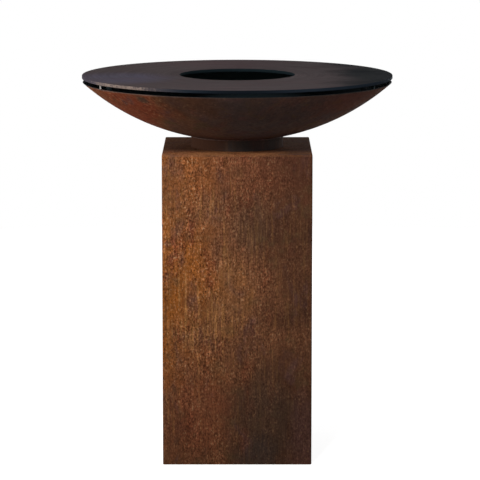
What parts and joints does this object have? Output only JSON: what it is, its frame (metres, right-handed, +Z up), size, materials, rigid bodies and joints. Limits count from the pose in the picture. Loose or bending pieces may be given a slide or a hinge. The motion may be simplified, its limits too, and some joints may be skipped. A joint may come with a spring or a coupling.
{
  "type": "plancha grill",
  "caption": "Round plancha plate with a fire opening, standing off a dished fire bowl on a square weathering-steel pedestal with a rear access door.",
  "frame": {"origin": "on the ground, under the centre of the square pedestal and of the round plate", "axes": "+Z up; the pedestal's closed front, which the picture shows, faces -Y; its access door faces +Y; +X is to the right in the picture"},
  "size_m": [0.84, 0.84, 1.0351],
  "materials": {
    "corten_pedestal": "weathering steel with a full rust patina, matt and grainy",
    "corten_top": "weathering steel with a darker patina on its flat top",
    "corten_bowl": "weathering steel, smooth rust with scuffs and dark patches",
    "dark_collar": "weathering steel, dark and sheltered",
    "rusted_inside": "raw steel with light surface rust",
    "hinge_steel": "raw steel with light surface rust",
    "seasoned_steel": "carbon steel, seasoned nearly black, satin",
    "bright_steel": "stainless steel, turned",
    "black_plastic": "moulded, matt"
  },
  "bodies": {
    "root": {"pedestal_shell": "corten_pedestal", "pedestal_top": "corten_top", "rear_header": "corten_pedestal", "rear_sill": "corten_pedestal", "base_plate": "rusted_inside", "foot_weld_nuts": "bright_steel", "hinge_frame_leaves": "hinge_steel", "hinge_pins": "bright_steel", "catch_bracket": "rusted_inside", "catch_magnet": "black_plastic", "catch_screws": "bright_steel", "bowl_collar": "dark_collar", "bowl_lugs": "rusted_inside", "bowl_bolts": "bright_steel", "bowl_washers": "bright_steel", "fire_bowl": "corten_bowl"},
    "door": {"rear_door": "corten_pedestal", "hinge_door_leaves": "hinge_steel", "door_knob": "bright_steel", "door_knob_screw": "bright_steel"},
    "plate": {"plancha_plate": "seasoned_steel", "plate_standoff_pins": "bright_steel", "plate_centring_guides": "seasoned_steel"},
    "foot_front_left": {"foot_pad_front_left": "black_plastic"},
    "stem_front_left": {"foot_stem_front_left": "bright_steel"},
    "foot_front_right": {"foot_pad_front_right": "black_plastic"},
    "stem_front_right": {"foot_stem_front_right": "bright_steel"},
    "foot_rear_left": {"foot_pad_rear_left": "black_plastic"},
    "stem_rear_left": {"foot_stem_rear_left": "bright_steel"},
    "foot_rear_right": {"foot_pad_rear_right": "black_plastic"},
    "stem_rear_right": {"foot_stem_rear_right": "bright_steel"}
  },
  "joints": [
    {"name": "plate_lift", "type": "slide", "parent": "root", "child": "plate", "axis": [0, 0, 1], "range_m": [0, 0.15]},
    {"name": "door_hinge", "type": "hinge", "parent": "root", "child": "door", "pos_m": [0.1685, 0.206, 0.4195], "axis": [0, 0, -1], "range_deg": [0, 110]},
    {"name": "foot_travel_front_left", "type": "slide", "parent": "root", "child": "foot_front_left", "axis": [0, 0, -1], "range_m": [0, 0.02]},
    {"name": "stem_turn_front_left", "type": "hinge", "parent": "foot_front_left", "child": "stem_front_left", "pos_m": [-0.145, -0.145, 0.04], "axis": [0, 0, -1], "range_deg": [0, 4801]},
    {"name": "foot_travel_front_right", "type": "slide", "parent": "root", "child": "foot_front_right", "axis": [0, 0, -1], "range_m": [0, 0.02]},
    {"name": "stem_turn_front_right", "type": "hinge", "parent": "foot_front_right", "child": "stem_front_right", "pos_m": [0.145, -0.145, 0.04], "axis": [0, 0, -1], "range_deg": [0, 4801]},
    {"name": "foot_travel_rear_left", "type": "slide", "parent": "root", "child": "foot_rear_left", "axis": [0, 0, -1], "range_m": [0, 0.02]},
    {"name": "stem_turn_rear_left", "type": "hinge", "parent": "foot_rear_left", "child": "stem_rear_left", "pos_m": [-0.145, 0.145, 0.04], "axis": [0, 0, -1], "range_deg": [0, 4801]},
    {"name": "foot_travel_rear_right", "type": "slide", "parent": "root", "child": "foot_rear_right", "axis": [0, 0, -1], "range_m": [0, 0.02]},
    {"name": "stem_turn_rear_right", "type": "hinge", "parent": "foot_rear_right", "child": "stem_rear_right", "pos_m": [0.145, 0.145, 0.04], "axis": [0, 0, -1], "range_deg": [0, 4801]}
  ],
  "couplings": [
    {"joint": "stem_turn_front_left", "follows": "foot_travel_front_left", "rad_per_m": 4188.8},
    {"joint": "stem_turn_front_right", "follows": "foot_travel_front_right", "rad_per_m": 4188.8},
    {"joint": "stem_turn_rear_left", "follows": "foot_travel_rear_left", "rad_per_m": 4188.8},
    {"joint": "stem_turn_rear_right", "follows": "foot_travel_rear_right", "rad_per_m": 4188.8}
  ]
}
